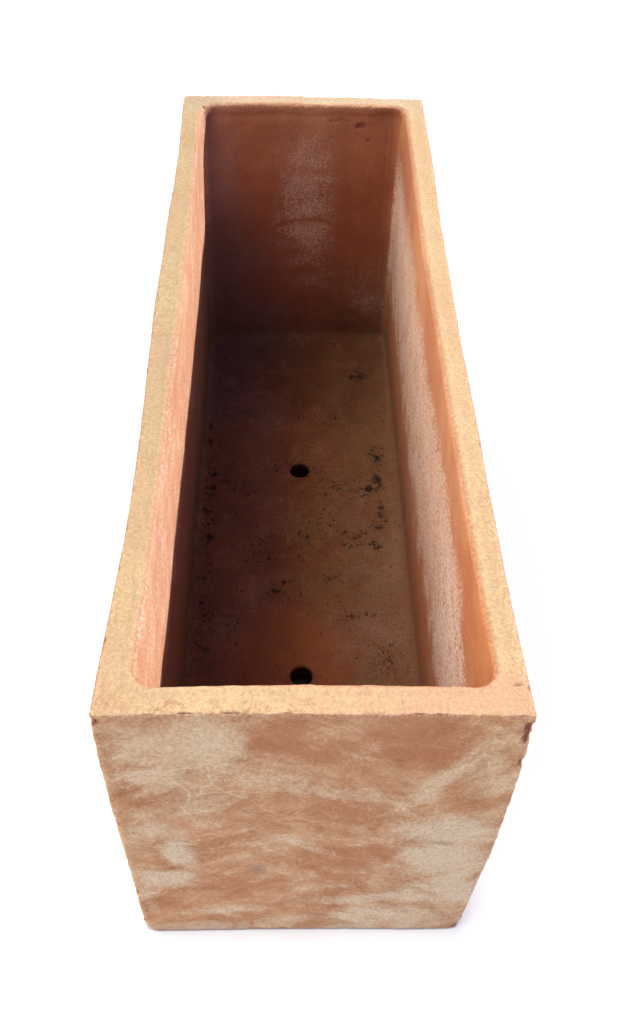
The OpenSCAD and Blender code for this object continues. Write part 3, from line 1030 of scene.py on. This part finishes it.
class Clay(Tree):
    """A clay material, with the coordinates, masks and noises its colours share."""

    def __init__(self, material):
        super().__init__(material)
        self.geo = geo = self.node("TexCoord", {}, "Object")
        self.x, self.y, self.z = geo.xyz()
        self.bloom, self.soil = self.attr("bloom"), self.attr("soil")
        self.swirl = swirl = geo.swirl(scale=9.0, amount=0.06)
        self.big = geo.noise(scale=5.5, detail=4, rough=0.62, twist=0.4)
        self.mid = geo.noise(scale=21, detail=5, rough=0.66, twist=0.5)
        self.cloud = swirl.noise(scale=12, detail=6, rough=0.72)
        self.fine = geo.noise(scale=270, detail=3, rough=0.70)
        # slanting rubs, two ways, and upright finger marks
        rub_a = swirl.warp((15, 26, 50), turn=(0.35, -0.62, 0.0)).noise(1.0, detail=5, rough=0.70)
        rub_b = swirl.warp((17, 26, 52), turn=(-0.45, 0.50, 0.0)).noise(1.0, detail=5, rough=0.70)
        self.wipe = geo.warp((150, 150, 24), turn=(0.10, 0.07, 0.0)).noise(
            1.0, detail=4, rough=0.68)
        self.rub = rub_a.blend(self.big.between(0.46, 0.56), rub_b)

    def outer_colour(self):
        """Brown clay under uneven pale bloom, rubbed and scuffed."""
        geo, z, cloud, fine, rub = self.geo, self.z, self.cloud, self.fine, self.rub
        blot = cloud * 0.50 + rub * 0.34 + fine * 0.16
        colour = blot.ramp(OUTER_CLAY)
        red = self.attr("ruddy") + (0.5 - cloud) * 1.3
        ruddy_clay = (0.405, 0.162, 0.067)
        colour = colour.blend(red.between(0.12, 0.80, to=(0.0, 0.72)), ruddy_clay)
        pale = fine.ramp(OUTER_BLOOM)
        edge = cloud * 0.5 + rub * 0.35 + fine * 0.15
        # the long sides and the back are more even than the front
        facing_x, facing_y, _ = self.node("NewGeometry", {}, "True Normal").xyz()
        contrast = facing_y.between(-0.8, -0.5).between(0.0, 1.0, to=(2.3, 1.35))
        edge = self.bloom + (edge - 0.48) * contrast
        warm_top = (0.99, 0.92, 0.83)
        pale = pale.tint(z.between(0.30, 0.44), warm_top)
        colour = colour.blend(edge.between(0.08, 0.88, to=(0.0, 0.74)), pale)
        # a web of fine scratches, and scuffs
        web = geo.swirl(scale=12, amount=0.07).cells(scale=13).between(0.018, 0.004).maximum(
            geo.swirl(scale=7, amount=0.12).cells(scale=8).between(0.012, 0.003))
        web = web * self.attr("web") * rub.between(0.42, 0.54, to=(0.2, 1.0))
        scuff = rub.between(0.58, 0.70) * fine.between(0.4, 0.6, to=(0.2, 0.8))
        scratched = (0.74, 0.59, 0.42)
        colour = colour.blend((scuff * 0.42).add_clamped(web * 0.62), scratched)
        # pale foot, dark bottom edge, soil spots
        foot = z.between(0.034, 0.008) * self.mid.between(0.4, 0.6, to=(0.15, 0.7))
        pale_foot, dark_edge, soil_spot = (0.60, 0.49, 0.36), (0.27, 0.135, 0.075), (0.26, 0.17, 0.11)
        colour = colour.blend(foot, pale_foot)
        bottom = z.between(0.009, 0.002) * cloud.between(0.36, 0.52, to=(0.25, 0.8))
        colour = colour.blend(bottom, dark_edge)
        colour = colour.blend(self.soil * fine.between(0.34, 0.6, to=(1.0, 0.55)), soil_spot)
        # painted shade: the right outer face, lit by the key light, is darkened in its colour
        painted_right_shade = (0.70, 0.74, 0.78)
        return colour.tint(facing_x.between(0.5, 0.9), painted_right_shade)

    def rim_colour(self):
        """Bleached and sandy, pinker in places, with a greyer groove."""
        geo, x, y, mid, fine = self.geo, self.x, self.y, self.mid, self.fine
        rim = (self.cloud * 0.5 + fine * 0.5).ramp(RIM_SAND)
        even, pink, grey_groove = (0.585, 0.388, 0.207), (0.60, 0.348, 0.205), (0.56, 0.40, 0.26)
        rim = rim.blend(0.4, even)
        front_right = (x.between(0.02, 0.12, to=(0.0, 0.5))
                       * y.between(FRONT_Y + 0.07, FRONT_Y + 0.03))
        rim = rim.blend(self.big.between(0.46, 0.62, to=(0.0, 0.40)).add_clamped(front_right), pink)
        groove = self.attr("groove") * mid.between(0.35, 0.6, to=(0.05, 0.3))
        rim = rim.blend(groove, grey_groove)
        pits, cracks, specks = (0.50, 0.25, 0.14), (0.42, 0.165, 0.09), (0.38, 0.21, 0.11)
        rim = rim.blend(fine.between(0.37, 0.30, to=(0.0, 0.4)), pits)
        # cracks mostly at the left of the front edge, specks along the right edge
        crack = geo.swirl(scale=60, amount=0.012).cells(scale=105).between(0.065, 0.02)
        crack = crack * x.between(0.03, -0.03, to=(0.15, 1.0))
        crack = crack * (mid.between(0.47, 0.55)
                         * y.between(FRONT_Y + 0.026, FRONT_Y + 0.012, to=(0.12, 1.0)))
        rim = rim.blend(crack * 0.65, cracks)
        speck = (geo.noise(scale=520, detail=2, rough=0.6).between(0.54, 0.62)
                 * x.between(RIGHT_X - 0.024, RIGHT_X - 0.010))
        rim = rim.blend(speck * 0.5, specks)
        back_tint, streaks = (0.95, 1.03, 1.20), (0.50, 0.29, 0.155)
        rim = rim.tint(y.between(0.50, 0.575), back_tint)
        streak = geo.warp((300, 60, 90)).noise(1.0, detail=3, rough=0.6)
        rim = rim.blend(streak.between(0.52, 0.66, to=(0.0, 0.35)), streaks)
        # multipliers, painted shade on the left rim: the left rim from front to back, then everywhere
        # else
        left = self.mix(y.between(-0.45, -0.10), (0.87, 0.875, 0.86), (0.80, 0.84, 0.825))
        return rim.times(self.mix(x.between(-0.10, -0.18), (0.955, 0.97, 0.95), left))

    def add_lime(self, inner, bed):
        """Lime stippled over the inner walls, warmer and redder patches under it."""
        x, y, z, wipe, bloom = self.x, self.y, self.z, self.wipe, self.bloom
        stipple = self.fine * 0.86 + wipe * 0.14 + (bloom - 0.5) * 0.13
        dots = (stipple.between(0.448, 0.560) * (1.0 - self.attr("far"))
                + stipple.between(0.425, 0.605) * self.attr("far"))
        lime = dots * bloom.between(0.02, 0.55, to=(0.0, 0.70)) + bloom * 0.14
        lime = lime * self.attr("far").between(0.0, 1.0, to=(1.0, 0.78))
        # painted light: the upper left inner wall paler where the key light falls on it
        painted_lit_band = x.between(-0.10, -0.14) * (
            z.between(0.30, 0.36) * y.between(-0.52, -0.30, to=(0.45, 1.0)))
        lime = lime + painted_lit_band * 0.15
        warm_tint, plum_clay, low_tint = (1.03, 0.90, 0.72), (0.34, 0.18, 0.135), (1.20, 1.17, 1.08)
        inner = inner.tint(y.between(-0.22, -0.50) * x.between(0.05, 0.13), warm_tint)
        plum = self.geo.warp((60, 60, 7)).noise(1.0, detail=3, rough=0.6).between(0.47, 0.60)
        plum = plum * (z.between(0.27, 0.16) * x.between(0.10, 0.14))
        inner = inner.blend(plum * 0.28, plum_clay)
        inner = inner.tint(z.between(0.30, 0.14) * x.between(0.10, 0.14), low_tint)
        # lime colours: middle, front and back
        milky = self.mix(y.between(-0.15, -0.40), (0.77, 0.585, 0.44), (0.86, 0.69, 0.555))
        inner = inner.blend(lime, milky.blend(self.attr("far"), (0.80, 0.64, 0.53)))
        streak = wipe.between(0.58, 0.72) * (1.0 - bed.add_clamped(self.attr("far")))
        return inner.blend(streak * 0.22, (0.66, 0.42, 0.29))

    def add_soil(self, inner, bed):
        """Soiled clay low down, then stains, clumps and crumbs of soil."""
        mid, soil = self.mid, self.soil
        patchy = mid * 0.5 + self.fine * 0.5
        soily = patchy.ramp(SOILED)
        olive, rubbed, ash_pink = (0.25, 0.150, 0.066), (0.385, 0.140, 0.046), (0.44, 0.262, 0.172)
        soily = soily.blend(self.cloud.between(0.45, 0.58, to=(0.0, 0.6)), olive)
        soily = soily.blend(self.attr("smooth") * 0.8, rubbed)
        soily = soily.blend(self.attr("ash") * patchy.between(0.40, 0.56, to=(0.45, 0.9)), ash_pink)
        inner = inner.blend(self.attr("dirt") * mid.between(0.34, 0.6, to=(0.5, 0.95)), soily)
        stained, clumps, crumb = (0.085, 0.064, 0.034), (0.036, 0.025, 0.015), (0.03, 0.020, 0.014)
        stain = self.swirl.noise(scale=84, detail=5, rough=0.74)
        inner = inner.blend(soil * stain.between(0.42, 0.58, to=(0.05, 0.6)), stained)
        clump = soil * 0.86 + (stain - 0.5) * 3.4
        inner = inner.blend(clump.between(0.60, 0.86, to=(0.0, 0.88)), clumps)
        crumbs = self.swirl.noise(scale=150, detail=3, rough=0.66) + soil * 0.13
        crumbs = crumbs.between(0.645, 0.685) * bed.maximum(soil)
        return inner.blend(crumbs * 0.9, crumb)

    def inner_colour(self):
        """Pink-orange clay, limed, soiled lower down, then tinted by place, with painted shade on the
        left and at the back.
        """
        x, y, z, bed = self.x, self.y, self.z, self.attr("bed")
        level = z * (1.0 / (HEIGHT / MM)) + (self.cloud - 0.5) * 0.35 + (self.wipe - 0.5) * 0.30
        inner = level.ramp(INNER_CLAY)
        inner = inner.blend(self.big.between(0.42, 0.60, to=(0.0, 0.5)), (0.43, 0.145, 0.062))
        inner = self.add_soil(self.add_lime(inner, bed), bed)
        # painted shade: the back end darker
        inner = inner.tint(self.attr("far"), (0.61, 0.55, 0.55))
        # painted shade multipliers, darker and mostly bluer: walls from front to back, the floor, the
        # back end
        left_shade = self.mix(y.between(-0.30, 0.50), (0.54, 0.65, 0.95), (0.56, 0.96, 1.42))
        left_shade = left_shade.blend(bed, (0.64, 0.60, 0.67))
        left_shade = left_shade.blend(self.attr("far"), (0.74, 1.18, 2.05))
        inner = inner.tint(self.attr("left_shade"), left_shade)
        # the right of the floor in two steps, then the right of the back wall
        inner = inner.tint(bed * x.between(-0.06, 0.02), (1.0, 0.97, 0.81))
        inner = inner.tint(bed * x.between(0.04, 0.10), (0.90, 0.90, 0.96))
        back_right = self.attr("far") * x.between(0.02, 0.09) * z.between(0.18, 0.28)
        return inner.tint(back_right, (0.97, 0.87, 0.79))


def clay_material(name):
    material = bpy.data.materials.new(name)
    clay = Clay(material)
    geo, fine = clay.geo, clay.fine
    inside, rimtop = clay.attr("inside"), clay.attr("rimtop")
    colour = clay.outer_colour().blend(rimtop, clay.rim_colour())
    colour = colour.blend(inside, clay.inner_colour())
    bore_shade, worn, pore = (0.034, 0.012, 0.007), (0.68, 0.47, 0.29), (0.26, 0.12, 0.07)
    # painted shade: the drain bores near black
    colour = colour.blend(clay.attr("bore"), bore_shade)
    # worn arrises, fresh chips, pores
    colour = colour.blend(clay.attr("arris") * fine.between(0.40, 0.62, to=(0.0, 0.42)), worn)
    chipped = clay.attr("chip") * fine.between(0.3, 0.5, to=(0.8, 1.0))
    colour = colour.blend(chipped, fine.ramp(RAW_CHIP))
    pores = (geo.cells(scale=150, feature="F1").between(0.16, 0.07)
             * geo.noise(scale=26, detail=3).between(0.52, 0.62))
    colour = colour.blend(pores * 0.45, pore)
    grain = geo.noise(scale=760, detail=1, rough=0.6)
    brightness = grain * 0.46 + fine * 0.46 + 0.54
    colour = clay.node("HueSaturation", {"Color": colour, "Value": brightness})
    # fine relief
    height = fine * 0.8 + clay.rub * rimtop.between(0.0, 1.0, to=(0.7, 0.0))
    height = height + clay.wipe * (inside * 0.16) - pores * 0.7
    bump = clay.node("Bump", {"Strength": 0.6, "Distance": 0.0016, "Height": height})
    shader = clay.node("BsdfPrincipled", {
        "Base Color": colour,
        "Roughness": fine.between(0.3, 0.7, to=(0.84, 0.97)),
        "Specular IOR Level": 0.25,
        "Normal": bump,
    })
    clay.add("OutputMaterial", {0: shader})
    return material


CLAYS = {slot: clay_material(slot)
         for slot in ("terracotta_wall", "terracotta_floor", "terracotta_coil")}

# ------------------------------------------------------------------ the pieces
pieces = [
    floor_slab("floor_slab"),
    end_wall("front_wall", -1),
    end_wall("back_wall", 1),
    side_wall("left_wall", -1),
    side_wall("right_wall", 1),
    corner_coil("corner_coil_front_left", -1, -1),
    corner_coil("corner_coil_front_right", 1, -1),
    corner_coil("corner_coil_back_left", -1, 1),
    corner_coil("corner_coil_back_right", 1, 1),
    floor_coil("floor_coil_front", "x", -1),
    floor_coil("floor_coil_back", "x", 1),
    floor_coil("floor_coil_left", "y", -1),
    floor_coil("floor_coil_right", "y", 1),
]


# ------------------------------------------------------------------ floor, light, camera (metres)
def ground_material():
    """Near white, and almost black under the trough: painted shade seen through the drain holes."""
    material = bpy.data.materials.new("studio_floor")
    tree = Tree(material)
    x, y, _ = tree.node("NewGeometry", {}, "Position").xyz()
    # painted shade: a near-black patch under the trough
    under = (tree.math("ABSOLUTE", x).between(HALF_X / MM - 0.05, HALF_X / MM - 0.06)
             * tree.math("ABSOLUTE", y).between(HALF_Y / MM - 0.05, HALF_Y / MM - 0.06))
    colour = tree.mix(under, (0.93, 0.93, 0.925), (0.004, 0.003, 0.002))
    shader = tree.node("BsdfPrincipled", {
        "Base Color": colour, "Roughness": 0.9, "Specular IOR Level": 0.1})
    tree.add("OutputMaterial", {0: shader})
    return material


def studio_floor():
    material = ground_material()
    mesh = bpy.data.meshes.new("studio_floor")
    half, back, drop = 25, 40, -0.0006      # half width, reach to the back, level of the plane
    mesh.from_pydata([(-half, -half, drop), (half, -half, drop), (half, back, drop),
                      (-half, back, drop)], [], [(0, 1, 2, 3)])
    mesh.materials.append(material)
    floor = bpy.data.objects.new("studio_floor", mesh)
    bpy.context.scene.collection.objects.link(floor)
    return floor


def studio_world():
    """A big soft source to the left, dim elsewhere; the camera sees plain light grey."""
    world = bpy.data.worlds.new("studio")
    bpy.context.scene.world = world
    tree = Tree(world)
    x, _, _ = tree.node("TexCoord", {}, "Generated").xyz()
    tone = tree.mix(x.between(0.10, -0.80), (0.08, 0.12, 0.37), (1.84, 1.79, 1.70))
    tone = tone.blend(tree.node("LightPath", {}, "Is Camera Ray"), (0.93, 0.93, 0.93))
    tree.add("OutputWorld", {0: tree.node("Background", {"Color": tone})})


def sun(name, toward, energy, angle, color, receivers):
    """A sun that lights only its receivers; toward points at it, angle is in degrees."""
    data = bpy.data.lights.new(name, "SUN")
    data.energy = energy
    data.angle = math.radians(angle)
    data.color = color
    lamp = bpy.data.objects.new(name, data)
    bpy.context.scene.collection.objects.link(lamp)
    lamp.rotation_euler = Vector(toward).to_track_quat("Z", "Y").to_euler()
    lit = bpy.data.collections.new(name + "_on")
    for receiver in receivers:
        lit.objects.link(receiver)
    lamp.light_linking.receiver_collection = lit


def studio_camera():
    """In front of the trough and above it, looking back and down."""
    data = bpy.data.cameras.new("camera")
    data.sensor_width = 36.0
    data.lens = 35.16
    data.clip_end = 200
    camera = bpy.data.objects.new("camera", data)
    bpy.context.scene.collection.objects.link(camera)
    forward = Vector((0.03965, 0.66462, -0.74613)).normalized()
    right = Vector((0.99918, -0.02003, 0.03525))
    right = (right - right.dot(forward) * forward).normalized()
    pose = Matrix((right, right.cross(forward), -forward)).transposed().to_4x4()
    pose.translation = Vector((-0.0334, -1.04296, 1.31508))
    camera.matrix_world = pose
    bpy.context.scene.camera = camera


floor = studio_floor()
studio_world()
sun("key", toward=(1.0, 0.17, 0.585), energy=4.8, angle=1.6, color=(1.0, 0.965, 0.90),
    receivers=pieces)
sun("soft_fill", toward=(-0.62, -0.10, 0.76), energy=1.65, angle=48, color=(0.98, 1.0, 1.0),
    receivers=pieces)
sun("floor_wash", toward=(0.0, 0.0, 1.0), energy=2.5, angle=12, color=(0.99, 1.01, 0.97),
    receivers=[floor])
studio_camera()

view = bpy.context.scene.view_settings
view.view_transform = "Standard"
view.look = "None"
view.exposure = 0.0
view.gamma = 1.0
